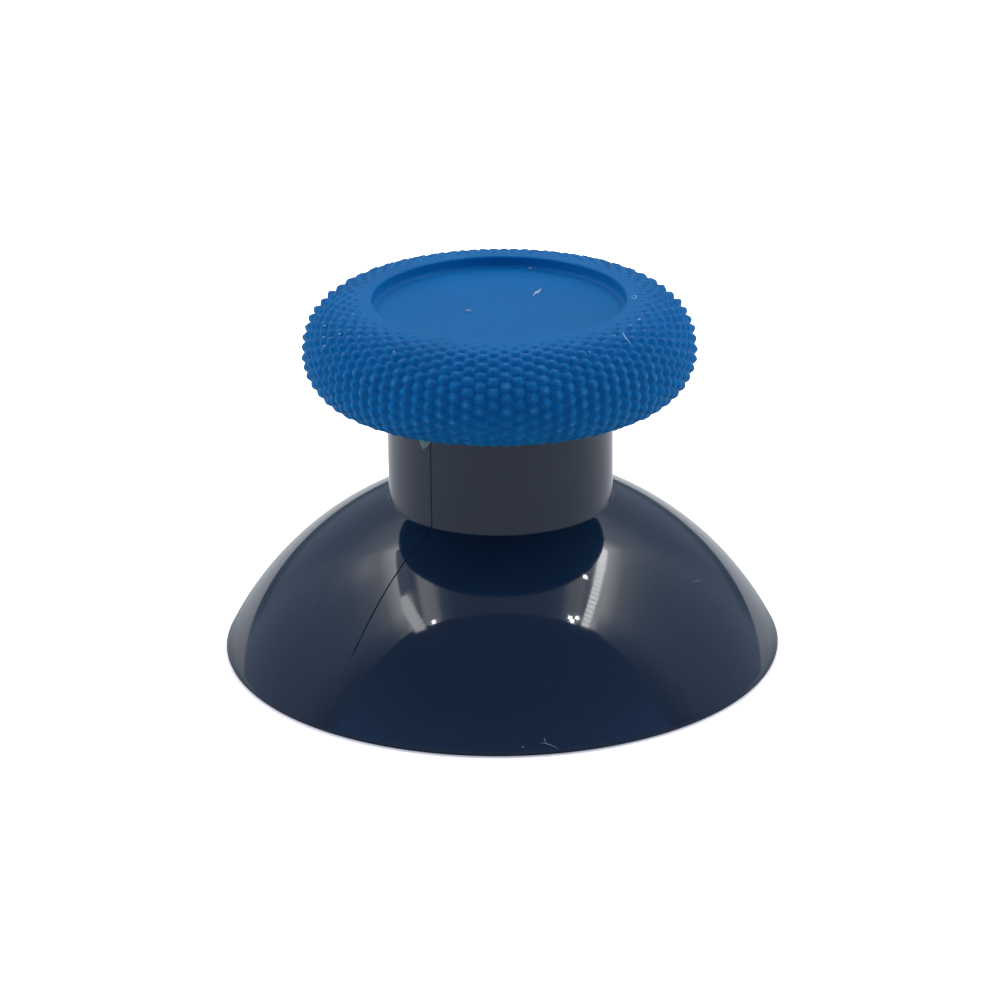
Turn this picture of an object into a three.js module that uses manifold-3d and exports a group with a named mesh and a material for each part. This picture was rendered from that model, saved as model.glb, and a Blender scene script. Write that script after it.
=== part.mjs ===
// Controller thumb grip: the cap that sits on the lever of a game controller's analogue stick.
// A hollow dome-shaped skirt and its stem are one hard glossy moulding. Its flat head anchors
// a soft cap with a shallow recess for the thumb and a knurled, ring-shaped rim.
// Millimetres, +Z up. The origin is the centre of the circle that the skirt stands on.

import * as THREE from "three";
import { mergeVertices } from "three/addons/utils/BufferGeometryUtils.js";
import Module from "manifold-3d";

const wasm = await Module();
wasm.setup();

// Skirt
const skirtRadius = 12.5;
const skirtRise = 7.17; // height at which the dome's arc reaches the stem
const skirtCurveRadius = 14.4; // of the dome's arc, seen in section
const skirtWall = 1.0;
const rimRound = 0.12; // rounding of the rim's outer edge

// Stem
const stemRadius = 5.0;
const stemLength = 5.11; // from the dome's arc to the cap's underside
const stemWall = 1.1;
const stemFillet = 0.05; // where the stem grows out of the dome

// Head of the stem, inside the cap
const headPlate = 2.0; // thickness left above the stem's bore

// Lever socket and the boss around it
const socketRadius = 2.05;
const socketAcrossFlats = 3.2;
const socketDepth = 6.5;
const socketLeadIn = 0.3; // chamfer at the socket's mouth
const bossWall = 0.75;
const bossDraft = 0.2; // by which the boss grows in radius up to the head
const bossRecess = 1.6; // height of the boss's end above the rim

// Ribs between the boss and the skirt's ceiling
const ribPlates = 2; // each runs right across the hollow and shows as two ribs
const ribThickness = 0.8;
const ribReach = 6.8; // from the axis to a rib's outer end
const ribEndDepth = 0.35; // by which the outer end hangs below the ceiling
const ribDrop = 1.15; // from the outer end down to the inner end

// Soft cap
const capRadius = 8.75; // over the tips of the knurl
const capThickness = 4.15; // from the flat underside to the crest
const capWaist = 1.72; // height of the widest line above the underside
const undersideInset = 1.43; // from the widest line in to the flat underside
const crownFullness = 0.7; // handle of the upper curve, as a share of its width and height
const bellyFullness = 0.52; // handle of the lower curve, likewise
const recessRadius = 5.6;
const recessDepth = 0.55;
const recessCorner = 0.06; // rounding between the recess's wall and floor
const recessEdge = 0.15; // rounding of the recess's upper edge

// Soft material round the stem's head
const sideSkin = 1.6;
const topSkin = 0.85;
const bottomSkin = 1.0;
const bondGap = 0.05; // between the curved faces of the moulding and the cap

// Knurl: pointed nubs in rows round the rim, every second row turned by half a pitch
const knurlCount = 48; // nubs in one row
const knurlRowPitch = 0.282; // from one row to the next along the section
const knurlDepth = 0.18; // from the tips down to the grooves between them
const knurlTurn = THREE.MathUtils.degToRad(-2.0); // from the front to a nub of the even rows
const knurlStart = 0.2; // distance from the recess's edge at which the grooves begin
const knurlFull = 2.2; // distance at which they have their full depth
const knurlFade = 1.3; // length over which they grow shallow again towards the underside
const knurlEndShare = 0.25; // of the depth, left where the knurl meets the underside

// Facets
const roundSegments = 2 * knurlCount;
const hollowSegments = 72;
const bossSegments = 48;
const domeSteps = 10;
const hollowSteps = 7;
const filletSteps = 3;
const edgeSteps = 2;
const cutOver = 1.0; // by which a cut passes the face that it opens

// Heights and radii that follow from the sizes above
const capUnderside = skirtRise + stemLength;
const capTop = capUnderside + capThickness;
const recessFloor = capTop - recessDepth;
const headUnderside = capUnderside + bottomSkin;
const headTop = recessFloor - topSkin;
const headRadius = capRadius - sideSkin;
const bossRadius = socketRadius + bossWall;
const hollowCurveRadius = skirtCurveRadius - skirtWall;

const point = (radius, height) => new THREE.Vector2(radius, height);

// Point at an angle and a distance from a centre
function polar(centre, distance, angle) {
  return point(centre.x + distance * Math.cos(angle), centre.y + distance * Math.sin(angle));
}

// Points along an arc, both ends included
function arc(centre, radius, from, to, steps) {
  const points = [];
  for (let i = 0; i <= steps; i++) {
    points.push(polar(centre, radius, THREE.MathUtils.lerp(from, to, i / steps)));
  }
  return points;
}

// Centre of the arc of a given radius that rises from a foot to a top and bulges outwards
function arcCentre(foot, top, radius) {
  const chord = top.clone().sub(foot);
  const inwards = point(-chord.y, chord.x).normalize();
  const distance = Math.sqrt(radius ** 2 - (chord.length() / 2) ** 2);
  return foot.clone().lerp(top, 0.5).addScaledVector(inwards, distance);
}

const domeCentre = arcCentre(
  point(skirtRadius, rimRound),
  point(stemRadius, skirtRise),
  skirtCurveRadius,
);

// Angles at which an arc about the dome's centre passes a distance from the axis, or a height
const angleAtRadius = (curve, radius) => Math.acos((radius - domeCentre.x) / curve);
const angleAtHeight = (curve, height) => Math.asin((height - domeCentre.y) / curve);

// Turns a profile about the vertical axis
function revolve(profile, segments) {
  return new THREE.LatheGeometry(profile, segments, knurlTurn).rotateX(Math.PI / 2);
}

// The same geometry with shared vertices and nothing but their positions
function welded(geometry) {
  const bare = geometry.clone();
  bare.deleteAttribute("normal");
  bare.deleteAttribute("uv");
  return mergeVertices(bare);
}

function toSolid(geometry) {
  const shared = welded(geometry);
  const mesh = new wasm.Mesh({
    numProp: 3,
    vertProperties: shared.attributes.position.array,
    triVerts: new Uint32Array(shared.index.array),
  });
  return new wasm.Manifold(mesh);
}

function toGeometry(solid) {
  const mesh = solid.getMesh();
  const geometry = new THREE.BufferGeometry();
  geometry.setAttribute("position", new THREE.BufferAttribute(mesh.vertProperties, 3));
  geometry.setIndex(new THREE.BufferAttribute(mesh.triVerts, 1));
  return geometry;
}

// Skirt, stem and head in one, still without the hollow
function outerForm() {
  const rimCentre = point(skirtRadius - rimRound, rimRound);
  const footAngle = angleAtHeight(skirtCurveRadius, rimRound);
  const filletDistance = skirtCurveRadius + stemFillet;
  const filletAngle = angleAtRadius(filletDistance, stemRadius + stemFillet);
  const filletCentre = polar(domeCentre, filletDistance, filletAngle);
  const profile = [
    point(0, 0),
    ...arc(rimCentre, rimRound, -Math.PI / 2, 0, edgeSteps),
    ...arc(domeCentre, skirtCurveRadius, footAngle, filletAngle, domeSteps).slice(1),
    ...arc(filletCentre, stemFillet, filletAngle - Math.PI, -Math.PI, filletSteps).slice(1),
    point(stemRadius, headUnderside),
    point(headRadius, headUnderside),
    point(headRadius, headTop),
    point(0, headTop),
  ];
  return toSolid(revolve(profile, roundSegments));
}

// Space inside the skirt and the stem when their walls and the plate above have these thicknesses
function hollow(domeWall, tubeWall, plate) {
  const curve = skirtCurveRadius - domeWall;
  const bore = stemRadius - tubeWall;
  const mouthAngle = angleAtHeight(curve, 0);
  const ceilingAngle = angleAtRadius(curve, bore);
  const profile = [
    point(0, -cutOver),
    point(polar(domeCentre, curve, mouthAngle).x, -cutOver),
    ...arc(domeCentre, curve, mouthAngle, ceilingAngle, hollowSteps),
    point(bore, headTop - plate),
    point(0, headTop - plate),
  ];
  return toSolid(revolve(profile, hollowSegments));
}

// Tapered boss from its free end up into the head's plate
function boss() {
  const root = headTop - headPlate / 2;
  const profile = [
    point(0, bossRecess),
    point(bossRadius, bossRecess),
    point(bossRadius + bossDraft, root),
    point(0, root),
  ];
  return toSolid(revolve(profile, bossSegments));
}

// Plate across the hollow, whose lower edges fall from the skirt's ceiling to the boss
function ribPlate(turn) {
  const ceiling = polar(domeCentre, hollowCurveRadius, angleAtRadius(hollowCurveRadius, ribReach)).y;
  const outerEnd = ceiling - ribEndDepth;
  const innerEnd = outerEnd - ribDrop;
  const side = new THREE.Shape();
  side.moveTo(-ribReach, headTop);
  side.lineTo(-ribReach, outerEnd);
  side.lineTo(-bossRadius, innerEnd);
  side.lineTo(bossRadius, innerEnd);
  side.lineTo(ribReach, outerEnd);
  side.lineTo(ribReach, headTop);
  const plate = new THREE.ExtrudeGeometry(side, { depth: ribThickness, bevelEnabled: false });
  plate.translate(0, 0, -ribThickness / 2);
  return toSolid(plate.rotateX(Math.PI / 2).rotateZ(turn));
}

// Round blind hole narrowed by two flats, for the joystick's lever
function socket() {
  const height = socketDepth + cutOver;
  const middle = bossRecess + (socketDepth - cutOver) / 2;
  const round = new THREE.CylinderGeometry(socketRadius, socketRadius, height, bossSegments);
  const slab = new THREE.BoxGeometry(socketAcrossFlats, 4 * socketRadius, 2 * height);
  round.rotateX(Math.PI / 2).translate(0, 0, middle);
  slab.translate(0, 0, middle);
  return toSolid(round).intersect(toSolid(slab));
}

// Cone that chamfers the socket's mouth
function leadIn() {
  const profile = [
    point(0, bossRecess - cutOver),
    point(socketRadius + socketLeadIn, bossRecess - cutOver),
    point(socketRadius + socketLeadIn, bossRecess),
    point(socketRadius, bossRecess + socketLeadIn),
    point(0, bossRecess + socketLeadIn),
  ];
  return toSolid(revolve(profile, bossSegments));
}

// The ribs end halfway into the walls, so that they grow out of them
function makeStickBase() {
  const reachOfRibs = hollow(skirtWall / 2, stemWall / 2, headPlate / 2);
  let base = outerForm().subtract(hollow(skirtWall, stemWall, headPlate));
  for (let i = 0; i < ribPlates; i++) {
    const turn = (Math.PI * (i + 0.5)) / ribPlates;
    base = base.add(ribPlate(turn).intersect(reachOfRibs));
  }
  return toGeometry(base.add(boss()).subtract(socket()).subtract(leadIn()));
}

// Section of the rim over the tips of its knurl, from the recess's edge to the underside
function rimSection() {
  const waist = point(capRadius, capUnderside + capWaist);
  const crest = point(recessRadius + recessEdge, capTop);
  const foot = point(waist.x - undersideInset, capUnderside);
  const crestHandle = THREE.MathUtils.lerp(crest.x, waist.x, crownFullness);
  const upperHandle = THREE.MathUtils.lerp(waist.y, crest.y, crownFullness);
  const lowerHandle = THREE.MathUtils.lerp(waist.y, foot.y, bellyFullness);
  const footHandle = THREE.MathUtils.lerp(foot.x, waist.x, bellyFullness);
  const section = new THREE.Path();
  section.moveTo(crest.x, crest.y);
  section.bezierCurveTo(crestHandle, crest.y, waist.x, upperHandle, waist.x, waist.y);
  section.bezierCurveTo(waist.x, lowerHandle, footHandle, foot.y, foot.x, foot.y);
  return section;
}

// Depth of the grooves at a distance along a section of the given length
function grooveDepth(distance, length) {
  const rise = THREE.MathUtils.smoothstep(distance, knurlStart, knurlFull);
  const nearEnd = 1 - THREE.MathUtils.smoothstep(length - distance, 0, knurlFade);
  return knurlDepth * rise * THREE.MathUtils.lerp(1, knurlEndShare, nearEnd);
}

// Columns and rows of the rim's grid cross by turns at the tip of a nub and in a groove
const isTip = (column, row) => (column + row) % 2 === 0;

// Sinks the crossings of the grooves into the revolved rim, whose rows begin at firstRow
// in each column of the grid
function sinkGrooves(geometry, section, rows, firstRow, columnLength) {
  const length = section.getLength();
  const position = geometry.attributes.position;
  const crossing = new THREE.Vector3();
  const inwards = new THREE.Vector3();
  for (let column = 0; column <= roundSegments; column++) {
    const azimuth = knurlTurn + (2 * Math.PI * column) / roundSegments;
    for (let row = 0; row <= rows; row++) {
      if (isTip(column, row)) continue;
      const along = section.getTangentAt(row / rows);
      const vertex = column * columnLength + firstRow + row;
      inwards.set(along.y * Math.sin(azimuth), -along.y * Math.cos(azimuth), -along.x);
      crossing.fromBufferAttribute(position, vertex);
      crossing.addScaledVector(inwards, grooveDepth((length * row) / rows, length));
      position.setXYZ(vertex, crossing.x, crossing.y, crossing.z);
    }
  }
}

// Splits each cell of the grid along its groove, so that every tip stands on four flat flanks
function splitAlongGrooves(geometry, firstRow, columnLength) {
  const index = [];
  for (let column = 0; column < roundSegments; column++) {
    for (let i = 0; i < columnLength - 1; i++) {
      const here = column * columnLength + i;
      const next = here + columnLength;
      if (isTip(column, i - firstRow)) {
        index.push(here, here + 1, next, next + 1, next, here + 1);
      } else {
        index.push(here, next + 1, next, here, here + 1, next + 1);
      }
    }
  }
  geometry.setIndex(index);
}

function makeGripCap() {
  const section = rimSection();
  const rows = Math.round(section.getLength() / knurlRowPitch);
  const cornerCentre = point(recessRadius - recessCorner, recessFloor + recessCorner);
  const edgeCentre = point(recessRadius + recessEdge, capTop - recessEdge);
  const recess = [
    point(0, recessFloor),
    ...arc(cornerCentre, recessCorner, -Math.PI / 2, 0, edgeSteps),
    ...arc(edgeCentre, recessEdge, Math.PI, Math.PI / 2, edgeSteps).slice(0, -1),
  ];
  const inside = [
    point(stemRadius + bondGap, capUnderside),
    point(stemRadius + bondGap, headUnderside),
    point(headRadius + bondGap, headUnderside),
    point(headRadius + bondGap, headTop),
    point(0, headTop),
  ];
  const profile = [...recess, ...section.getSpacedPoints(rows), ...inside];
  const geometry = revolve(profile, roundSegments);
  sinkGrooves(geometry, section, rows, recess.length, profile.length);
  splitAlongGrooves(geometry, recess.length, profile.length);
  return welded(geometry);
}

const hardPlastic = new THREE.MeshStandardMaterial({
  name: "gloss_navy_plastic",
  color: 0x0b0f18,
  roughness: 0.12,
  metalness: 0,
});

const softRubber = new THREE.MeshStandardMaterial({
  name: "blue_rubber",
  color: 0x0f5ea6,
  roughness: 0.6,
  metalness: 0,
});

function subpart(name, geometry, material) {
  geometry.computeVertexNormals();
  const mesh = new THREE.Mesh(geometry, material);
  mesh.name = name;
  return mesh;
}

const thumbGrip = new THREE.Group();
thumbGrip.add(subpart("stick_base", makeStickBase(), hardPlastic));
thumbGrip.add(subpart("grip_cap", makeGripCap(), softRubber));

export default thumbGrip;
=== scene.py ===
# Looks of the controller thumb grip: a glossy dark moulding under a soft, knurled blue cap.
# Everything is in metres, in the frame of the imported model. Lengths named here are in millimetres.
import math

import bmesh
import bpy
import numpy as np
from mathutils import Matrix, Vector
from mathutils.bvhtree import BVHTree


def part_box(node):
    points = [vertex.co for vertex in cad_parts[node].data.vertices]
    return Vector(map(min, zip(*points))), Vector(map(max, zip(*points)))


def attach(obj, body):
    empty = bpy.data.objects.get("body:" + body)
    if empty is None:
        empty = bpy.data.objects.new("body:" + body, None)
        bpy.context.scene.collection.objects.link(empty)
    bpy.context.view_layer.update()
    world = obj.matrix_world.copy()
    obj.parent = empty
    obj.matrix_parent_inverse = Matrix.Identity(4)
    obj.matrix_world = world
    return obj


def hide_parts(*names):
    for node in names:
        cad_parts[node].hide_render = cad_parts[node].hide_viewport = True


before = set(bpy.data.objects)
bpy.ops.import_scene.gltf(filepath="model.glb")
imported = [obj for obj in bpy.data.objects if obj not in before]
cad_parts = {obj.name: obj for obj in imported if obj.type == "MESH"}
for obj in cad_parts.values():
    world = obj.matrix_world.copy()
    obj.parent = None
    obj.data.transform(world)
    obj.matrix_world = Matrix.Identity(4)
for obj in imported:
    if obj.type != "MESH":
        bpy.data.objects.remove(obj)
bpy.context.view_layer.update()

MM = 0.001
_, base_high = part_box("stick_base")
cap_low, cap_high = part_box("grip_cap")

# Skirt and stem of the moulding
SKIRT_RADIUS = base_high.x / MM
SKIRT_RISE = 7.17  # height at which the dome's arc reaches the stem
SKIRT_CURVE = 14.4
SKIRT_WALL = 1.0
DOME_FOOT = 0.12  # height at which the dome's arc has the skirt's full radius
RIM_ROUND = 0.18
STEM_RADIUS = 5.0
STEM_WALL = 1.1
STEM_FILLET = 0.05

# Head of the stem, lever socket, boss and ribs
HEAD_TOP = base_high.z / MM
HEAD_RADIUS = 7.15
HEAD_SKIN = 1.0  # rubber below the head
HEAD_UNDERSIDE = cap_low.z / MM + HEAD_SKIN
PLATE = 2.0
SOCKET_RADIUS = 2.05
SOCKET_HALF_FLATS = 1.6
SOCKET_DEPTH = 6.5
SOCKET_LEAD_IN = 0.3
BOSS_RADIUS = 2.8
BOSS_DRAFT = 0.2
BOSS_END = 1.6
RIB_THICKNESS = 0.8
RIB_REACH = 6.8
RIB_END_DEPTH = 0.35
RIB_DROP = 1.15
RIB_COUNT = 4
RIB_OVERLAP = 0.2  # how far a rib reaches into the boss

# Soft cap
CAP_TOP = cap_high.z / MM
CAP_UNDERSIDE = cap_low.z / MM
CAP_RADIUS = 8.75
CAP_WAIST = 1.72
UNDERSIDE_INSET = 1.43
CROWN_FULLNESS = 0.7
BELLY_FULLNESS = 0.52
RECESS_RADIUS = 5.6
RECESS_MIDDLE = 1.4  # first ring of the floor round the middle
RECESS_DEPTH = 0.55
RECESS_CORNER = 0.22
RECESS_EDGE = 0.08
RECESS_LIP = 0.15  # from the recess's wall to where the rim's curve begins
BOND_GAP = 0.05

# Knurl: nubs in rows on the rim, every second row turned by half a pitch
KNURL_COUNT = 48
KNURL_ROWS = 25
KNURL_DEPTH = 0.27  # from the tips down to the pits between them
KNURL_TURN = math.radians(-2.0)
KNURL_START = 0.1  # distance from the recess's edge at which the first pits open
KNURL_FULL = 2.2  # distance from which they have their full depth
KNURL_RAMP = 0.85  # below 1, they deepen quickly at first
KNURL_FADE = 3.1  # distance from the underside's edge over which the knurl grows shallow
KNURL_END_SHARE = 0.33  # part of the depth that is left at that edge
PITTED_TO = 0.9  # distance up to which short pits alone break the smooth crown
NUBS_FROM = 2.3  # distance from which round nubs stand side by side
NUB_POWER = 1.6  # 1 gives pointed nubs and 2 gives round ones
NUB_HOLLOW = 0.45  # how far the ground between the nubs is smoothed out
NUB_UNEVENNESS = 0.2  # share by which single nubs stay lower
TIP_SHARE = 0.22  # part of a nub's height that is painted paler, as a painted highlight on the tips
DRAW_FACTORS = (12.9898, 78.233, 43758.5453)  # of the fixed draw for each nub's height

# Parting line of the mould, seen to the left of the front
PARTING_TURN = math.radians(-37.5)
PARTING_OFFSETS = (-0.07, -0.035, 0.0, 0.035, 0.07)  # columns of vertices across it
PARTING_DEPTH = 0.05
PARTING_END = (9.6, 11.2)  # radii between which it runs out on the dome

# Fineness of the meshes
CAP_COLUMNS = 16 * KNURL_COUNT
STEPS_PER_ROW = 4
CURVE_STEPS = 2000
BASE_COLUMNS = 288
DOME_STEPS = 56
STEM_ROW = 4  # first row of the base's profile below the head
CORNER_STEPS = 6
STEM_STEPS = 6
SHARP_ANGLE = math.radians(40)

# Camera, found from the outlines of skirt, stem, cap and recess in the photograph
CAMERA_DISTANCE = 195.69
CAMERA_ELEVATION = math.radians(21.8337)
CAMERA_ROLL = math.radians(-0.5607)
CAMERA_AIM = (-0.04, 0.0, 6.847)
FOCAL_PIXELS = 4380.41
PHOTO_PIXELS = 1000
SENSOR_WIDTH = 36.0


# Profiles in section, as lists of (radius, height)
def polar(centre, distance, angle):
    return (centre[0] + distance * math.cos(angle), centre[1] + distance * math.sin(angle))


def arc(centre, radius, start, end, steps):
    return [polar(centre, radius, start + (end - start) * i / steps) for i in range(steps + 1)]


def line(start, end, steps):
    (r0, z0), (r1, z1) = start, end
    return [(r0 + (r1 - r0) * i / steps, z0 + (z1 - z0) * i / steps) for i in range(steps + 1)]


def arc_centre(foot, top, radius):
    chord = np.subtract(top, foot)
    length = np.hypot(*chord)
    inwards = np.array([-chord[1], chord[0]]) / length
    distance = math.sqrt(radius**2 - (length / 2) ** 2)
    return tuple(np.add(foot, top) / 2 + inwards * distance)


DOME_CENTRE = arc_centre((SKIRT_RADIUS, DOME_FOOT), (STEM_RADIUS, SKIRT_RISE), SKIRT_CURVE)


def angle_at_radius(curve, radius):
    return math.acos((radius - DOME_CENTRE[0]) / curve)


def angle_at_height(curve, height):
    return math.asin((height - DOME_CENTRE[1]) / curve)


def base_profile():
    """Moulding from the middle of its head down the outside, and up the hollow to the socket's floor."""
    foot = angle_at_height(SKIRT_CURVE - RIM_ROUND, RIM_ROUND)
    rim_centre = polar(DOME_CENTRE, SKIRT_CURVE - RIM_ROUND, foot)
    fillet_distance = SKIRT_CURVE + STEM_FILLET
    fillet_angle = angle_at_radius(fillet_distance, STEM_RADIUS + STEM_FILLET)
    fillet_centre = polar(DOME_CENTRE, fillet_distance, fillet_angle)
    inner = SKIRT_CURVE - SKIRT_WALL
    bore = STEM_RADIUS - STEM_WALL
    mouth = angle_at_height(inner, 0)
    ceiling = angle_at_radius(inner, bore)
    plate_underside = HEAD_TOP - PLATE
    taper = BOSS_DRAFT * (plate_underside - BOSS_END) / (HEAD_TOP - PLATE / 2 - BOSS_END)
    outside = [
        *line((HEAD_RADIUS / 2, HEAD_TOP), (HEAD_RADIUS, HEAD_TOP), 1),
        (HEAD_RADIUS, HEAD_UNDERSIDE),
        *line((STEM_RADIUS, HEAD_UNDERSIDE), (STEM_RADIUS, fillet_centre[1]), STEM_STEPS),
        *arc(fillet_centre, STEM_FILLET, -math.pi, fillet_angle - math.pi, CORNER_STEPS)[1:],
        *arc(DOME_CENTRE, SKIRT_CURVE, fillet_angle, foot, DOME_STEPS)[1:],
        *arc(rim_centre, RIM_ROUND, foot, -math.pi / 2, CORNER_STEPS)[1:],
    ]
    inside = [
        *arc(DOME_CENTRE, inner, mouth, ceiling, DOME_STEPS // 2),
        (bore, plate_underside),
        (BOSS_RADIUS + taper, plate_underside),
        (BOSS_RADIUS, BOSS_END),
        (SOCKET_RADIUS + SOCKET_LEAD_IN, BOSS_END),
        (SOCKET_RADIUS, BOSS_END + SOCKET_LEAD_IN),
        (SOCKET_RADIUS, BOSS_END + SOCKET_DEPTH),
    ]
    return outside, inside


def bezier(p0, p1, p2, p3, steps):
    t = np.linspace(0, 1, steps + 1)[:, None]
    p0, p1, p2, p3 = (np.array(p, float) for p in (p0, p1, p2, p3))
    return (1 - t) ** 3 * p0 + 3 * (1 - t) ** 2 * t * p1 + 3 * (1 - t) * t**2 * p2 + t**3 * p3


def mix(a, b, share):
    return a + (b - a) * share


def smoothstep(x, low, high):
    t = np.clip((x - low) / (high - low), 0, 1)
    return t * t * (3 - 2 * t)


def rim_section(steps):
    """Points, outward normals and distances along the rim's section, evenly spaced."""
    waist = (CAP_RADIUS, CAP_UNDERSIDE + CAP_WAIST)
    crest = (RECESS_RADIUS + RECESS_LIP, CAP_TOP)
    foot = (waist[0] - UNDERSIDE_INSET, CAP_UNDERSIDE)
    crown = (mix(crest[0], waist[0], CROWN_FULLNESS), crest[1])
    shoulder = (waist[0], mix(waist[1], crest[1], CROWN_FULLNESS))
    belly = (waist[0], mix(waist[1], foot[1], BELLY_FULLNESS))
    heel = (mix(foot[0], waist[0], BELLY_FULLNESS), foot[1])
    curve = np.vstack([
        bezier(crest, crown, shoulder, waist, CURVE_STEPS),
        bezier(waist, belly, heel, foot, CURVE_STEPS)[1:],
    ])
    lengths = np.concatenate([[0], np.cumsum(np.hypot(*np.diff(curve, axis=0).T))])
    even = np.linspace(0, lengths[-1], steps + 1)
    points = np.stack([np.interp(even, lengths, curve[:, k]) for k in (0, 1)], axis=1)
    tangents = np.gradient(points, axis=0)
    tangents /= np.hypot(*tangents.T)[:, None]
    normals = np.stack([-tangents[:, 1], tangents[:, 0]], axis=1)
    return points, normals, even


def knurl_form(azimuth, distance, radius, length):
    """Lowness of each place on the knurl: 0 at the tips of its nubs and 1 in the pits between them."""
    column = (azimuth - KNURL_TURN) * KNURL_COUNT / math.pi
    row = distance * KNURL_ROWS / length
    column_width, row_height = radius * math.pi / KNURL_COUNT, length / KNURL_ROWS
    away = np.full(np.broadcast(column, row).shape, np.inf)
    seed = np.zeros_like(away)
    across, down, spread = DRAW_FACTORS
    for parity in (0, 1):
        tip_column = 2 * np.round((column - parity) / 2) + parity
        tip_row = 2 * np.round((row - parity) / 2) + parity
        to_tip = np.hypot((column - tip_column) * column_width, (row - tip_row) * row_height)
        draw = across * (tip_column % (2 * KNURL_COUNT)) + down * tip_row
        draw = np.sin(draw) * spread
        seed = np.where(to_tip < away, draw - np.floor(draw), seed)
        away = np.minimum(away, to_tip)
    to_pit = (column_width**2 + row_height**2) / (2 * column_width)
    away = np.minimum(away / to_pit, 1)
    nubs = mix(away**NUB_POWER, (1 - np.cos(math.pi * away)) / 2, NUB_HOLLOW)
    nubs = 1 - (1 - nubs) * (1 - NUB_UNEVENNESS * seed)
    pits = (1 - np.cos(math.pi * column) * np.cos(math.pi * row)) / 2
    return mix(pits, nubs, smoothstep(distance, PITTED_TO, NUBS_FROM))


def knurl_sink(low, distance, length):
    """Depth below the tips of the knurl, which grows out of the smooth crown and fades to the underside."""
    open_share = np.clip((distance - KNURL_START) / (KNURL_FULL - KNURL_START), 0, 1) ** KNURL_RAMP
    near_end = 1 - smoothstep(length - distance, 0, KNURL_FADE)
    return KNURL_DEPTH * np.maximum(low - 1 + open_share, 0) * mix(1, KNURL_END_SHARE, near_end)


# Meshes
def ring(radius, height, azimuth):
    """Vertices in millimetres round the vertical axis; azimuth 0 is the front."""
    radius, height, azimuth = np.broadcast_arrays(radius, height, azimuth)
    return np.stack([radius * np.sin(azimuth), -radius * np.cos(azimuth), height], axis=-1)


def turned_mesh(name, rings, first_pole, last_pole):
    """Closed mesh from rings of vertices, with a fan to a point on the axis at either end."""
    rows, columns = rings.shape[:2]
    vertices = np.vstack([rings.reshape(-1, 3), [first_pole], [last_pole]]) * MM
    here = np.arange(columns)
    beside = (here + 1) % columns
    faces = []
    for row in range(rows - 1):
        a, b = row * columns, (row + 1) * columns
        faces += np.stack([a + here, b + here, b + beside, a + beside], axis=1).tolist()
    last = (rows - 1) * columns
    first_centre, last_centre = rows * columns, rows * columns + 1
    faces += [[first_centre, i, j] for i, j in zip(here.tolist(), beside.tolist())]
    faces += [[last_centre, last + j, last + i] for i, j in zip(here.tolist(), beside.tolist())]
    mesh = bpy.data.meshes.new(name)
    mesh.from_pydata(vertices.tolist(), [], faces)
    mesh.validate()
    return mesh


def add_object(name, mesh):
    piece = bpy.data.objects.new(name, mesh)
    bpy.context.scene.collection.objects.link(piece)
    return piece


def smooth(mesh):
    mesh.polygons.foreach_set("use_smooth", np.ones(len(mesh.polygons), bool))


def mark_sharp_rings(mesh, columns, rows):
    """Keeps the edges along whole rings sharp, such as the corners of a turned hollow."""
    ends = np.zeros(len(mesh.edges) * 2, np.int32)
    mesh.edges.foreach_get("vertices", ends)
    row_of = ends.reshape(-1, 2) // columns
    sharp = (row_of[:, 0] == row_of[:, 1]) & np.isin(row_of[:, 0], rows)
    mesh.attributes.new("sharp_edge", "BOOLEAN", "EDGE").data.foreach_set("value", sharp)


def make_cap():
    """Soft cap with its recess, the dense knurl round its rim and the pocket for the stem's head."""
    azimuth = KNURL_TURN + np.arange(CAP_COLUMNS) * 2 * math.pi / CAP_COLUMNS
    points, normals, distance = rim_section(KNURL_ROWS * STEPS_PER_ROW)
    low = knurl_form(azimuth[None, :], distance[:, None], points[:, 0:1], distance[-1])
    sink = knurl_sink(low, distance[:, None], distance[-1])
    radius = points[:, 0:1] - normals[:, 0:1] * sink
    height = points[:, 1:2] - normals[:, 1:2] * sink
    rim = ring(radius, height, azimuth[None, :])
    floor_height = CAP_TOP - RECESS_DEPTH
    corner = (RECESS_RADIUS - RECESS_CORNER, floor_height + RECESS_CORNER)
    edge = (RECESS_RADIUS + RECESS_EDGE, CAP_TOP - RECESS_EDGE)
    recess = [
        *line((RECESS_MIDDLE, floor_height), (RECESS_RADIUS - RECESS_CORNER, floor_height), 3),
        *arc(corner, RECESS_CORNER, -math.pi / 2, 0, CORNER_STEPS)[1:],
        *arc(edge, RECESS_EDGE, math.pi, math.pi / 2, CORNER_STEPS),
    ]
    pocket = [
        (STEM_RADIUS + BOND_GAP, CAP_UNDERSIDE),
        (STEM_RADIUS + BOND_GAP, HEAD_UNDERSIDE),
        (HEAD_RADIUS + BOND_GAP, HEAD_UNDERSIDE),
        (HEAD_RADIUS + BOND_GAP, HEAD_TOP),
    ]
    before = [ring(r, z, azimuth) for r, z in recess]
    after = [ring(r, z, azimuth) for r, z in pocket]
    rings = np.concatenate([np.array(before), rim, np.array(after)])
    mesh = turned_mesh("grip_cap_skin", rings, (0, 0, floor_height), (0, 0, HEAD_TOP))
    smooth(mesh)
    pocket_rows = len(recess) + len(rim) + np.arange(len(pocket))
    mark_sharp_rings(mesh, CAP_COLUMNS, pocket_rows)
    # Painted highlight: the tips of the nubs get a paler colour through this attribute.
    tip_highlight = np.zeros(len(mesh.vertices))
    first = len(recess) * CAP_COLUMNS
    highlight_share = (1 - smoothstep(low, 0, TIP_SHARE)) * smoothstep(distance[:, None], PITTED_TO, NUBS_FROM)
    tip_highlight[first:first + highlight_share.size] = highlight_share.ravel()
    mesh.attributes.new("tip_highlight", "FLOAT", "POINT").data.foreach_set("value", tip_highlight)
    return add_object("grip_cap_skin", mesh)


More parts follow.
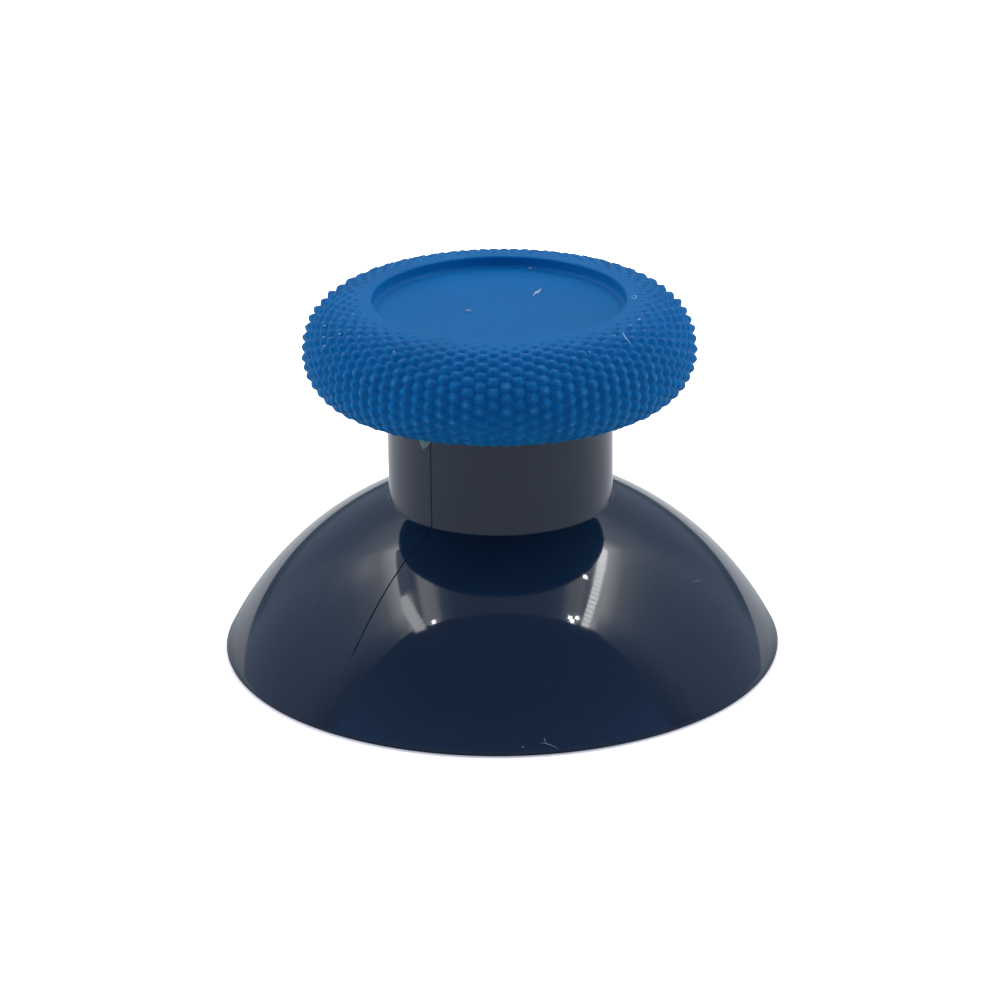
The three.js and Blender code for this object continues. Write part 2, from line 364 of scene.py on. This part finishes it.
def parting_columns():
    """Azimuths of the base's columns, with the offsets in millimetres of those beside a parting line."""
    step = 2 * math.pi / BASE_COLUMNS
    azimuth, offset = [], []
    for half in range(2):
        start = PARTING_TURN + half * math.pi
        azimuth += [start] * len(PARTING_OFFSETS)
        offset += PARTING_OFFSETS
        azimuth += [start + step * i for i in range(1, BASE_COLUMNS // 2)]
        offset += [0.0] * (BASE_COLUMNS // 2 - 1)
    return np.array(azimuth), np.array(offset)


def make_rib(turn):
    """One rib, from inside the boss's wall to inside the skirt's ceiling, as a closed prism."""
    inner = SKIRT_CURVE - SKIRT_WALL
    buried = SKIRT_CURVE - SKIRT_WALL / 2
    ceiling = polar(DOME_CENTRE, inner, angle_at_radius(inner, RIB_REACH))[1]
    tube_middle = STEM_RADIUS - STEM_WALL / 2
    outer_end, inner_end = (angle_at_radius(buried, r) for r in (RIB_REACH, tube_middle))
    outline = [
        (BOSS_RADIUS - RIB_OVERLAP, ceiling - RIB_END_DEPTH - RIB_DROP),
        (BOSS_RADIUS, ceiling - RIB_END_DEPTH - RIB_DROP),
        (RIB_REACH, ceiling - RIB_END_DEPTH),
        *arc(DOME_CENTRE, buried, outer_end, inner_end, CORNER_STEPS),
        (tube_middle, HEAD_TOP - PLATE / 2),
        (BOSS_RADIUS - RIB_OVERLAP, HEAD_TOP - PLATE / 2),
    ]
    work = bmesh.new()
    sides = []
    for side in (-RIB_THICKNESS / 2, RIB_THICKNESS / 2):
        sides.append([work.verts.new((r * MM, side * MM, z * MM)) for r, z in outline])
    work.faces.new(sides[0])
    work.faces.new(reversed(sides[1]))
    for i in range(len(outline)):
        j = (i + 1) % len(outline)
        work.faces.new((sides[0][j], sides[0][i], sides[1][i], sides[1][j]))
    bmesh.ops.recalc_face_normals(work, faces=work.faces)
    bmesh.ops.rotate(work, verts=work.verts, matrix=Matrix.Rotation(turn, 3, "Z"))
    mesh = bpy.data.meshes.new("rib")
    work.to_mesh(mesh)
    work.free()
    return add_object("rib", mesh)


def join_solids(piece, others):
    """Unites the piece with the other solids and removes those."""
    for other in others:
        union = piece.modifiers.new("union", "BOOLEAN")
        union.operation = "UNION"
        union.solver = "EXACT"
        union.object = other
    graph = bpy.context.evaluated_depsgraph_get()
    joined = bpy.data.meshes.new_from_object(piece.evaluated_get(graph))
    piece.modifiers.clear()
    piece.data = joined
    for other in others:
        bpy.data.objects.remove(other)


def make_base():
    """Moulding with its skirt, stem, head, boss, keyed socket and ribs."""
    azimuth, offset = parting_columns()
    outside, inside = base_profile()
    profile = np.array(outside + inside)
    radius, height = profile[:, 0:1], profile[:, 1:2]
    turn = azimuth[None, :] + offset[None, :] / np.maximum(radius, STEM_RADIUS)
    on_line = np.isin(azimuth, (PARTING_TURN, PARTING_TURN + math.pi)) & (offset == 0)
    row = np.arange(len(profile))
    exposed = (row >= STEM_ROW) & (row < len(outside) - CORNER_STEPS)
    reach = (1 - smoothstep(radius, *PARTING_END)) * exposed[:, None]
    slopes = np.gradient(profile, axis=0)
    slopes /= np.hypot(*slopes.T)[:, None]
    sink = PARTING_DEPTH * on_line[None, :] * reach
    rings = ring(radius + slopes[:, 1:2] * sink, height - slopes[:, 0:1] * sink, turn)
    socket_rows = rings[-2:]
    socket_rows[..., 0] = np.clip(socket_rows[..., 0], -SOCKET_HALF_FLATS, SOCKET_HALF_FLATS)
    floor_height = BOSS_END + SOCKET_DEPTH
    mesh = turned_mesh("stick_base_skin", rings, (0, 0, HEAD_TOP), (0, 0, floor_height))
    base = add_object("stick_base_skin", mesh)
    join_solids(base, [make_rib(math.pi * (i + 0.5) * 2 / RIB_COUNT) for i in range(RIB_COUNT)])
    smooth(base.data)
    base.data.set_sharp_from_angle(angle=SHARP_ANGLE)
    return base


# Materials
RUBBER_TONES = ((0.0, 0.112, 0.312), (0.0, 0.130, 0.354))
TIP_HIGHLIGHT_COLOUR = (0.055, 0.20, 0.42)  # painted highlight on the tips of the knurl's nubs
PLASTIC_TONES = ((0.0070, 0.0160, 0.0340), (0.0080, 0.0175, 0.0375))
NOISE_SPAN = (0.3, 0.7)  # range round the middle in which nearly all noise lies
DUST_SHADE = 0.85  # darkest part of a fibre's or flake's colour


def new_material(name):
    material = bpy.data.materials.new(name)
    material.use_nodes = True
    nodes = material.node_tree.nodes
    return material, nodes, material.node_tree.links, nodes["Principled BSDF"]


def add_noise(nodes, links, place, scale, detail, roughness=0.5):
    noise = nodes.new("ShaderNodeTexNoise")
    noise.inputs["Scale"].default_value = scale
    noise.inputs["Detail"].default_value = detail
    noise.inputs["Roughness"].default_value = roughness
    links.new(place.outputs["Object"], noise.inputs["Vector"])
    return noise.outputs["Fac"]


def add_range(nodes, links, source, low, high):
    """Maps noise around its middle onto the range from low to high."""
    spread = nodes.new("ShaderNodeMapRange")
    spread.inputs["From Min"].default_value, spread.inputs["From Max"].default_value = NOISE_SPAN
    spread.inputs["To Min"].default_value = low
    spread.inputs["To Max"].default_value = high
    links.new(source, spread.inputs["Value"])
    return spread.outputs["Result"]


def add_mix(nodes, links, source, first, second):
    blend = nodes.new("ShaderNodeMix")
    blend.data_type = "RGBA"
    blend.inputs["A"].default_value = (*first, 1)
    blend.inputs["B"].default_value = (*second, 1)
    links.new(source, blend.inputs["Factor"])
    return blend.outputs["Result"]


def add_bump(nodes, links, source, depth):
    bump = nodes.new("ShaderNodeBump")
    bump.inputs["Strength"].default_value = 1.0
    bump.inputs["Distance"].default_value = depth * MM
    links.new(source, bump.inputs["Height"])
    return bump.outputs["Normal"]


def rubber_material():
    """Satin blue rubber: faint mottling, a fine grain and a soft sheen where it is seen edge on."""
    material, nodes, links, shader = new_material("cap_rubber_blue")
    place = nodes.new("ShaderNodeTexCoord")
    mottle = add_range(nodes, links, add_noise(nodes, links, place, 260, 4), 0, 1)
    colour = add_mix(nodes, links, mottle, *RUBBER_TONES)
    # Painted highlight: the knurl's nub tips are mixed towards a paler colour.
    tip_highlight = nodes.new("ShaderNodeAttribute")
    tip_highlight.attribute_name = "tip_highlight"
    paler = nodes.new("ShaderNodeMix")
    paler.data_type = "RGBA"
    paler.inputs["B"].default_value = (*TIP_HIGHLIGHT_COLOUR, 1)
    links.new(tip_highlight.outputs["Fac"], paler.inputs["Factor"])
    links.new(colour, paler.inputs["A"])
    links.new(paler.outputs["Result"], shader.inputs["Base Color"])
    grain = add_noise(nodes, links, place, 9000, 3, 0.6)
    links.new(add_range(nodes, links, grain, 0.42, 0.54), shader.inputs["Roughness"])
    links.new(add_bump(nodes, links, grain, 0.006), shader.inputs["Normal"])
    shader.inputs["Specular IOR Level"].default_value = 0.11
    shader.inputs["Sheen Weight"].default_value = 0.05
    shader.inputs["Sheen Roughness"].default_value = 0.35
    shader.inputs["Sheen Tint"].default_value = (0.45, 0.75, 1.0, 1)
    return material


def plastic_material():
    """Polished dark navy plastic: a mirror finish with faint orange peel and handling haze."""
    material, nodes, links, shader = new_material("skirt_plastic_navy")
    place = nodes.new("ShaderNodeTexCoord")
    cloud = add_noise(nodes, links, place, 180, 3)
    colour = add_mix(nodes, links, cloud, *PLASTIC_TONES)
    links.new(colour, shader.inputs["Base Color"])
    haze = add_noise(nodes, links, place, 420, 5, 0.65)
    links.new(add_range(nodes, links, haze, 0.04, 0.08), shader.inputs["Roughness"])
    peel = add_noise(nodes, links, place, 700, 2)
    links.new(add_bump(nodes, links, peel, 0.002), shader.inputs["Normal"])
    shader.inputs["IOR"].default_value = 1.46
    return material


def plain_material(name, colour):
    """Dull fibre or flake whose tone varies a little."""
    material, nodes, links, shader = new_material(name)
    place = nodes.new("ShaderNodeTexCoord")
    cloud = add_noise(nodes, links, place, 5000, 2)
    tone = add_mix(nodes, links, cloud, [part * DUST_SHADE for part in colour], colour)
    links.new(tone, shader.inputs["Base Color"])
    shader.inputs["Roughness"].default_value = 0.6
    return material


# Camera
def camera_axes():
    e = CAMERA_ELEVATION
    right, up = Vector((1, 0, 0)), Vector((0, math.sin(e), math.cos(e)))
    forward = Vector((0, math.cos(e), -math.sin(e)))
    c, s = math.cos(CAMERA_ROLL), math.sin(CAMERA_ROLL)
    place = (Vector(CAMERA_AIM) - forward * CAMERA_DISTANCE) * MM
    return place, c * right + s * up, c * up - s * right, forward


def make_camera():
    place, right, up, forward = camera_axes()
    data = bpy.data.cameras.new("camera")
    data.sensor_width = SENSOR_WIDTH
    data.lens = SENSOR_WIDTH * FOCAL_PIXELS / PHOTO_PIXELS
    data.clip_start, data.clip_end = 0.01, 10
    camera = bpy.data.objects.new("camera", data)
    turn = Matrix((right, up, -forward)).transposed().to_4x4()
    camera.matrix_world = Matrix.Translation(place) @ turn
    bpy.context.scene.collection.objects.link(camera)
    bpy.context.scene.camera = camera


# Lint and dust, and pale specks that are painted glints, as (pixels of the photograph along each bit, its
# width in millimetres)
WHITE_LINT = (
    (((533, 296), (536, 293), (538, 292.5), (541, 289.5)), 0.085),
    (((536, 293), (538.5, 293.8)), 0.05),
    (((465.5, 311.5), (468, 311), (471, 311.5)), 0.09),
    (((529, 268), (532, 268.5)), 0.05),
)
GREY_LINT = (
    (((522, 747), (524, 747)), 0.06),
    (((540, 743), (546, 743.5), (553, 746), (559, 749)), 0.035),
    (((546, 743.5), (544, 738)), 0.03),
    (((688, 577), (691, 581), (694, 582), (697, 581), (700, 580)), 0.035),
)
PALE_DUST_AND_GLINTS = (
    # Pale bits on the rim: the fibre and the specks on the right are dust.
    (((620, 330), (623, 334), (626, 339), (630, 343)), 0.06),
    (((638, 320), (640, 320)), 0.09),
    (((629, 326), (631, 326)), 0.08),
    (((613, 336), (615, 336)), 0.08),
    (((632, 296), (634, 295), (636, 296), (636, 298), (634, 299), (632, 298), (632, 296)), 0.05),
    # Painted glints: the next five pale specks, on the left of the rim, stand in for small highlights.
    (((339, 334), (341, 334)), 0.09),
    (((324, 326), (326, 326)), 0.08),
    (((323, 338), (325, 338)), 0.09),
    (((324, 346), (326, 346)), 0.08),
    (((393, 352), (395, 352)), 0.08),
    (((352, 315), (354, 314)), 0.06),
    (((588, 352), (590, 352)), 0.07),
)
FLAKE = ((419, 438), (430, 438), (430, 443), (427, 447.5), (424, 449), (421.5, 445))
FLAKE_THICKNESS = 0.05
FLAKE_SINK = 0.01
FLAKE_COLOUR = (0.13, 0.19, 0.20)
WHITE_COLOUR = (0.70, 0.74, 0.84)
PALE_COLOUR = (0.32, 0.52, 0.82)
GREY_COLOUR = (0.17, 0.21, 0.28)
FIBRE_SIDES = 6
FIBRE_END_SHARE = 0.4  # thickness of a long fibre's ends
FIBRE_LIFT = 0.6  # height of its middle over the surface, in radii


def seen_place(tree, column, row):
    """Place and normal of the surface that the camera sees at a pixel of the photograph."""
    place, right, up, forward = camera_axes()
    ray = forward * FOCAL_PIXELS + right * (column - PHOTO_PIXELS / 2) - up * (row - PHOTO_PIXELS / 2)
    where, normal, _, _ = tree.ray_cast(place, ray.normalized())
    return where, normal


def skin_tree(pieces):
    """Surfaces of the pieces, for finding where a line of sight meets them."""
    vertices, faces = [], []
    for piece in pieces:
        first = len(vertices)
        vertices += [vertex.co.copy() for vertex in piece.data.vertices]
        faces += [[first + corner for corner in face.vertices] for face in piece.data.polygons]
    return BVHTree.FromPolygons(vertices, faces)


def add_fibre(work, tree, pixels, width):
    """Thin tube that lies on the surface, with tapered ends where it is long."""
    spots = [seen_place(tree, *pixel) for pixel in pixels]
    radius = width * MM / 2
    ends = (0, len(spots) - 1) if len(spots) > 2 else ()
    rings = []
    for i, (place, normal) in enumerate(spots):
        before, after = spots[max(i - 1, 0)][0], spots[min(i + 1, len(spots) - 1)][0]
        across = (after - before).cross(normal).normalized()
        size = radius * (FIBRE_END_SHARE if i in ends else 1)
        middle = place + normal * radius * FIBRE_LIFT
        turns = [2 * math.pi * side / FIBRE_SIDES for side in range(FIBRE_SIDES)]
        spokes = [across * math.cos(turn) + normal * math.sin(turn) for turn in turns]
        rings.append([work.verts.new(middle + spoke * size) for spoke in spokes])
        for vertex in rings[-1]:
            vertex.co.z = min(vertex.co.z, cap_high.z)
    for a, b in zip(rings, rings[1:]):
        for side in range(FIBRE_SIDES):
            beside = (side + 1) % FIBRE_SIDES
            work.faces.new((a[side], b[side], b[beside], a[beside]))
    work.faces.new(rings[0])
    work.faces.new(rings[-1][::-1])


def make_dust(name, fibres, tree, colour):
    """One piece with all bits of lint, dust and painted glints of a colour."""
    work = bmesh.new()
    for pixels, width in fibres:
        add_fibre(work, tree, pixels, width)
    bmesh.ops.recalc_face_normals(work, faces=work.faces)
    mesh = bpy.data.meshes.new(name)
    work.to_mesh(mesh)
    work.free()
    smooth(mesh)
    mesh.materials.append(plain_material(name, colour))
    return add_object(name, mesh)


def make_flake(tree):
    """Small greenish flake on the stem, close under the cap."""
    spots = [seen_place(tree, *pixel) for pixel in FLAKE]
    work = bmesh.new()
    sides = []
    for height in (-FLAKE_SINK, FLAKE_THICKNESS):
        sides.append([work.verts.new(place + normal * height * MM) for place, normal in spots])
    work.faces.new(sides[0])
    work.faces.new(sides[1][::-1])
    for i in range(len(spots)):
        j = (i + 1) % len(spots)
        work.faces.new((sides[0][j], sides[0][i], sides[1][i], sides[1][j]))
    bmesh.ops.recalc_face_normals(work, faces=work.faces)
    mesh = bpy.data.meshes.new("flake")
    work.to_mesh(mesh)
    work.free()
    mesh.materials.append(plain_material("flake_green", FLAKE_COLOUR))
    return add_object("flake", mesh)


# Stage and light: a white table in a small light box that is open towards the viewer
FLOOR_DROP = 0.02  # the table lies this little below the rim, so that no faces coincide
TABLE_RADIUS = 800.0
TABLE_SEGMENTS = 96
TABLE_BOUNCE = (0.66, 0.74, 0.62)  # colour with which it lights the object
TABLE_SEEN = (0.98, 0.88, 0.80)  # what it shows of the light and shadow on it
TABLE_GLOWS_AND_PAINTED_SHADOW = (  # its own glow, as (radius, colour), from a thin painted shadow round the rim out to white
    (12.42, (0.36, 0.37, 0.44)),
    (12.66, (0.74, 0.74, 0.76)),
    (40.0, (0.80, 0.80, 0.80)),
    (65.0, (1.00, 1.00, 1.00)),
)
TABLE_MIRRORED = 0.38  # light and shadow on it, as reflections show them
# Glow in reflections, as (radius, colour): nearly black at the rim, which is a painted shadow, and paler
# outwards.
TABLE_MIRROR_GLOWS_AND_PAINTED_SHADOW = ((12.4, (0.02, 0.02, 0.03)), (15.0, (0.30, 0.30, 0.31)), (30.0, (0.42, 0.42, 0.42)))
BOX_HALF_WIDTH = 126.0
BOX_FRONT = -48.0
BOX_BACK = 115.0
BOX_HEIGHT = 200.0
BOX_ROWS = 16
ROOM_RADIUS = 900.0
ROOM_STEPS = (32, 24)

# Brightness of the light box from place to place, as (millimetres, brightness)
CEILING_RIGHT = (
    (0, 0.42), (55, 0.45), (72, 0.75), (80, 1.55), (97, 2.0), (101, 1.3), (107, 1.5), (111, 4.5), (126, 4.5),
)
CEILING_LEFT = (
    (0, 0.42), (55, 0.45), (72, 0.9), (80, 2.6), (97, 3.0), (101, 1.3), (107, 1.3), (111, 3.4), (126, 3.4),
)
WALL_LIGHT = (
    (0, 0.48), (40, 0.52), (65, 0.60), (90, 0.70), (115, 0.85),
    (140, 1.2), (165, 1.8), (190, 4.0), (200, 5.0),
)
BACK_LIGHT = (
    (0, 0.2), (10, 0.2), (15, 0.36), (30, 0.39), (50, 0.41), (65, 0.43), (90, 0.55), (120, 1.0),
    (135, 1.2), (145, 1.3), (165, 1.6), (200, 3.0),
)
BACK_CORNERS = (88.0, 126.0)  # sideways places between which it passes into the side walls' light
LEFT_EDGE = (101.0, 111.0)  # distance to the left at which the ceiling's left edge begins
LEFT_EDGE_FADE = (0.0, 22.0)  # depths between which the left edge of the ceiling grows dark
LEFT_EDGE_LOW = 0.3
WALL_FRONT_SHARE = 0.4  # the side walls' light at their front edge, as part of that from WALL_FULL back
WALL_FULL = -5.0
PATCH_LIGHT = 0.8  # bright patch high on the left wall
PATCH_PLACE = (85.0, 140.0)  # its depth and height
PATCH_SIZE = (25.0, 22.0)
SHADE_TINT = (0.74, 0.95, 1.28)  # colour of the box's darker parts
ROOM_LIGHT = (0.13, 0.19, 0.30)
ROOM_HORIZON = (0.22, 0.39, 0.78)
HORIZON_REACH = 34.0  # degrees above the table up to which the room is bluish

# Rows of small lamps under the ceiling: the places of the first and last lamp, their number, size and light
LAMP_ROWS = (
    ((121.0, 109.0), (108.6, -44.0), 20, (12.0, 6.5), 14.0),
    ((-123.0, 10.0), (-108.0, -47.0), 8, (17.0, 10.0), 7.0),
)
SINGLE_LAMPS = ((-86.4, -44.9), (85.5, -40.9), (95.0, -37.7), (89.0, -44.6), (97.1, 33.0))
SINGLE_LAMP_SIZE = (4.5, 4.5)
SINGLE_LAMP_LIGHT = 75.0
LAMP_DROP = 1.0  # the lamps hang this far below the ceiling
SIDE_LAMP_PLACE = (150.0, 0.0, 45.0)
SIDE_LAMP_WIDTH = 90.0
SIDE_LAMP_POWER = 0.085  # watts


def new_shader_tree(tree):
    tree.nodes.clear()
    return tree.nodes, tree.links


def add_seen_directly(nodes, links):
    """1 for camera, glossy and transmission rays, and 0 for the diffuse light on the object."""
    path = nodes.new("ShaderNodeLightPath")
    first = nodes.new("ShaderNodeMath")
    first.operation = "MAXIMUM"
    links.new(path.outputs["Is Camera Ray"], first.inputs[0])
    links.new(path.outputs["Is Glossy Ray"], first.inputs[1])
    second = nodes.new("ShaderNodeMath")
    second.operation = "MAXIMUM"
    links.new(first.outputs[0], second.inputs[0])
    links.new(path.outputs["Is Transmission Ray"], second.inputs[1])
    return second.outputs[0]


def add_diffuse(nodes, colour):
    diffuse = nodes.new("ShaderNodeBsdfDiffuse")
    diffuse.inputs["Color"].default_value = (*colour, 1)
    return diffuse.outputs[0]


def add_sum(nodes, links, first, second):
    both = nodes.new("ShaderNodeAddShader")
    links.new(first, both.inputs[0])
    links.new(second, both.inputs[1])
    return both.outputs[0]


def add_choice(nodes, links, factor, first, second):
    """The first shader where the factor is 0 and the second where it is 1."""
    choose = nodes.new("ShaderNodeMixShader")
    links.new(factor, choose.inputs["Fac"])
    links.new(first, choose.inputs[1])
    links.new(second, choose.inputs[2])
    return choose.outputs[0]


def add_table_glow(nodes, links, glows):
    """Glow whose colour changes from the object's foot outwards; where it is darker close to the foot, it is
    a painted shadow.
    """
    place = nodes.new("ShaderNodeTexCoord")
    radius = nodes.new("ShaderNodeVectorMath")
    radius.operation = "LENGTH"
    links.new(place.outputs["Object"], radius.inputs[0])
    share = nodes.new("ShaderNodeMath")
    share.operation = "DIVIDE"
    share.inputs[1].default_value = glows[-1][0] * MM
    links.new(radius.outputs["Value"], share.inputs[0])
    ramp = nodes.new("ShaderNodeValToRGB")
    links.new(share.outputs[0], ramp.inputs["Fac"])
    stops = ramp.color_ramp.elements
    while len(stops) < len(glows):
        stops.new(0.5)
    for stop, (place_on_table, colour) in zip(stops, glows):
        stop.position = place_on_table / glows[-1][0]
        stop.color = (*colour, 1)
    glow = nodes.new("ShaderNodeEmission")
    links.new(ramp.outputs["Color"], glow.inputs["Color"])
    return glow.outputs[0]


def make_floor():
    """Pale table: white to the eye, pale in reflections, and darkened by the object's shadow, with a thin
    painted shadow round the object's foot, also in reflections.
    """
    material = bpy.data.materials.new("table_white")
    material.use_nodes = True
    nodes, links = new_shader_tree(material.node_tree)
    to_eye = add_sum(nodes, links, add_diffuse(nodes, TABLE_SEEN), add_table_glow(nodes, links, TABLE_GLOWS_AND_PAINTED_SHADOW))
    mirror_glow = add_table_glow(nodes, links, TABLE_MIRROR_GLOWS_AND_PAINTED_SHADOW)
    mirrored = add_sum(nodes, links, add_diffuse(nodes, (TABLE_MIRRORED,) * 3), mirror_glow)
    path = nodes.new("ShaderNodeLightPath")
    seen = add_choice(nodes, links, path.outputs["Is Camera Ray"], mirrored, to_eye)
    bounce = add_diffuse(nodes, TABLE_BOUNCE)
    output = nodes.new("ShaderNodeOutputMaterial")
    shade = add_choice(nodes, links, add_seen_directly(nodes, links), bounce, seen)
    links.new(shade, output.inputs["Surface"])
    work = bmesh.new()
    bmesh.ops.create_circle(work, cap_ends=True, segments=TABLE_SEGMENTS, radius=TABLE_RADIUS * MM)
    mesh = bpy.data.meshes.new("table")
    work.to_mesh(mesh)
    work.free()
    table = add_object("table", mesh)
    table.location.z = -FLOOR_DROP * MM
    table.data.materials.append(material)


def make_world():
    world = bpy.data.worlds.new("studio")
    bpy.context.scene.world = world
    world.use_nodes = True
    nodes, links = new_shader_tree(world.node_tree)
    dim = nodes.new("ShaderNodeBackground")
    dim.inputs["Color"].default_value = (*ROOM_LIGHT, 1)
    white = nodes.new("ShaderNodeBackground")
    white.inputs["Color"].default_value = (1, 1, 1, 1)
    output = nodes.new("ShaderNodeOutputWorld")
    shade = add_choice(nodes, links, add_seen_directly(nodes, links), dim.outputs[0], white.outputs[0])
    links.new(shade, output.inputs["Surface"])


def light_cloth():
    """Cloth that glows with the light painted on its corners."""
    material = bpy.data.materials.new("light_cloth")
    material.use_nodes = True
    nodes, links = new_shader_tree(material.node_tree)
    shade = nodes.new("ShaderNodeAttribute")
    shade.attribute_name = "light"
    glow = nodes.new("ShaderNodeEmission")
    links.new(shade.outputs["Color"], glow.inputs["Color"])
    output = nodes.new("ShaderNodeOutputMaterial")
    links.new(glow.outputs[0], output.inputs["Surface"])
    material.cycles.emission_sampling = "NONE"
    return material


def add_cloth(name, places, light, material):
    """Sheet over a grid of places, lit from behind, which the camera looks through."""
    rows, columns = places.shape[:2]
    corner = np.arange(rows * columns).reshape(rows, columns)
    faces = np.stack([corner[:-1, :-1], corner[:-1, 1:], corner[1:, 1:], corner[1:, :-1]], axis=-1)
    mesh = bpy.data.meshes.new(name)
    mesh.from_pydata((places.reshape(-1, 3) * MM).tolist(), [], faces.reshape(-1, 4).tolist())
    shade = mesh.attributes.new("light", "FLOAT_COLOR", "POINT")
    shade.data.foreach_set("color", np.hstack([light.reshape(-1, 3), np.ones((corner.size, 1))]).ravel())
    mesh.materials.append(material)
    cloth = add_object(name, mesh)
    cloth.visible_camera = False
    cloth.visible_shadow = False


def tinted(brightness):
    """Bright cloth is white, and darker cloth bluish."""
    white_share = np.clip(brightness / 2, 0, 1)[..., None]
    return brightness[..., None] * mix(np.array(SHADE_TINT), np.ones(3), white_share)


def along(profile, place):
    return np.interp(place, [p for p, _ in profile], [light for _, light in profile])


def ceiling_light(x, y):
    edge = smoothstep(-x, *LEFT_EDGE) * smoothstep(y, *LEFT_EDGE_FADE)
    left = along(CEILING_LEFT, -x) * mix(1, LEFT_EDGE_LOW, edge)
    return np.where(x < 0, left, along(CEILING_RIGHT, x))


def make_light_box():
    material = light_cloth()
    depth = np.linspace(BOX_FRONT, BOX_BACK, BOX_ROWS + 1)
    width = [-x for x, _ in reversed(CEILING_LEFT)] + [x for x, _ in CEILING_RIGHT[1:]]
    x, y = np.meshgrid(width, depth, indexing="ij")
    places = np.stack([x, y, np.full(x.shape, BOX_HEIGHT)], -1)
    add_cloth("box_ceiling", places, tinted(ceiling_light(x, y)), material)
    z, y = np.meshgrid([z for z, _ in WALL_LIGHT], depth, indexing="ij")
    light = along(WALL_LIGHT, z) * mix(WALL_FRONT_SHARE, 1.0, smoothstep(y, BOX_FRONT, WALL_FULL))
    from_patch = [(p - middle) / reach for p, middle, reach in zip((y, z), PATCH_PLACE, PATCH_SIZE)]
    bright_patch = PATCH_LIGHT * np.exp(-from_patch[0] ** 2 - from_patch[1] ** 2)
    for name, x, brightness in (
        ("box_right", BOX_HALF_WIDTH, light),
        ("box_left", -BOX_HALF_WIDTH, light + bright_patch),
    ):
        add_cloth(name, np.stack([np.full(y.shape, x), y, z], -1), tinted(brightness), material)
    width = np.linspace(-BOX_HALF_WIDTH, BOX_HALF_WIDTH, 2 * BOX_ROWS + 1)
    z, x = np.meshgrid([z for z, _ in BACK_LIGHT], width, indexing="ij")
    places = np.stack([x, np.full(x.shape, BOX_BACK), z], -1)
    light = mix(along(BACK_LIGHT, z), along(WALL_LIGHT, z), smoothstep(np.abs(x), *BACK_CORNERS))
    add_cloth("box_back", places, tinted(light), material)


def make_room():
    """Dim room round the light box, a little brighter and bluer near the table's height."""
    turn = np.linspace(0, 2 * math.pi, ROOM_STEPS[0] + 1)
    rise = np.linspace(0, math.pi / 2, ROOM_STEPS[1] + 1)
    turn, rise = np.meshgrid(turn, rise, indexing="ij")
    flat = ROOM_RADIUS * np.cos(rise)
    places = np.stack([flat * np.sin(turn), -flat * np.cos(turn), ROOM_RADIUS * np.sin(rise)], -1)
    low = np.exp(-((np.degrees(rise) / HORIZON_REACH) ** 4))[..., None]
    add_cloth("room", places, mix(np.array(ROOM_LIGHT), np.array(ROOM_HORIZON), low), light_cloth())


def make_side_lamps():
    """Broad soft lamps at both sides, which brighten the flanks and aren't seen in reflections."""
    for name, side in (("side_lamp_left", -1), ("side_lamp_right", 1)):
        data = bpy.data.lights.new(name, "AREA")
        data.energy = SIDE_LAMP_POWER
        data.size = SIDE_LAMP_WIDTH * MM
        lamp = bpy.data.objects.new(name, data)
        place = Vector((side * SIDE_LAMP_PLACE[0], SIDE_LAMP_PLACE[1], SIDE_LAMP_PLACE[2])) * MM
        aim = Vector((0, 0, CAP_UNDERSIDE)) * MM
        turn = (aim - place).to_track_quat("-Z", "Y").to_matrix().to_4x4()
        lamp.matrix_world = Matrix.Translation(place) @ turn
        lamp.visible_glossy = False
        bpy.context.scene.collection.objects.link(lamp)


def lamp_spots():
    """Place, size and light of each lamp."""
    spots = [(x, y, SINGLE_LAMP_SIZE, SINGLE_LAMP_LIGHT) for x, y in SINGLE_LAMPS]
    for (x0, y0), (x1, y1), count, size, light in LAMP_ROWS:
        for share in np.linspace(0, 1, count):
            spots.append((mix(x0, x1, share), mix(y0, y1, share), size, light))
    return spots


def make_lamps():
    """Small flat lamps under the ceiling: the rows along its sides and a few single ones."""
    vertices, faces, lights = [], [], []
    for x, y, (width, depth), light in lamp_spots():
        first = len(vertices)
        for dx, dy in ((-0.5, -0.5), (-0.5, 0.5), (0.5, 0.5), (0.5, -0.5)):
            corner = (x + dx * width, y + dy * depth, BOX_HEIGHT - LAMP_DROP)
            vertices.append([length * MM for length in corner])
            lights.append((light, light, light, 1))
        faces.append((first, first + 1, first + 2, first + 3))
    mesh = bpy.data.meshes.new("lamps")
    mesh.from_pydata(vertices, [], faces)
    mesh.attributes.new("light", "FLOAT_COLOR", "POINT").data.foreach_set("color", np.array(lights).ravel())
    mesh.materials.append(light_cloth())
    lamps = add_object("lamps", mesh)
    lamps.visible_camera = False


make_camera()
cap = make_cap()
base = make_base()
cap.data.materials.append(rubber_material())
base.data.materials.clear()
base.data.materials.append(plastic_material())
for piece, node, slot in ((cap, "grip_cap", "cap_rubber"), (base, "stick_base", "skirt_plastic")):
    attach(piece, "root")
    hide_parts(node)

skins = skin_tree((cap, base))
white_lint = make_dust("white_lint", WHITE_LINT, skins, WHITE_COLOUR)
grey_lint = make_dust("grey_lint", GREY_LINT, skins, GREY_COLOUR)
pale_dust_and_glints = make_dust("pale_dust_and_glints", PALE_DUST_AND_GLINTS, skins, PALE_COLOUR)
flake = make_flake(skin_tree((base,)))
for piece, slot in (
    (white_lint, "cap_rubber"),
    (pale_dust_and_glints, "cap_rubber"),
    (grey_lint, "skirt_plastic"),
    (flake, "skirt_plastic"),
):
    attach(piece, "root")

make_floor()
make_world()
make_light_box()
make_room()
make_lamps()
make_side_lamps()

bpy.context.scene.view_settings.view_transform = "Standard"
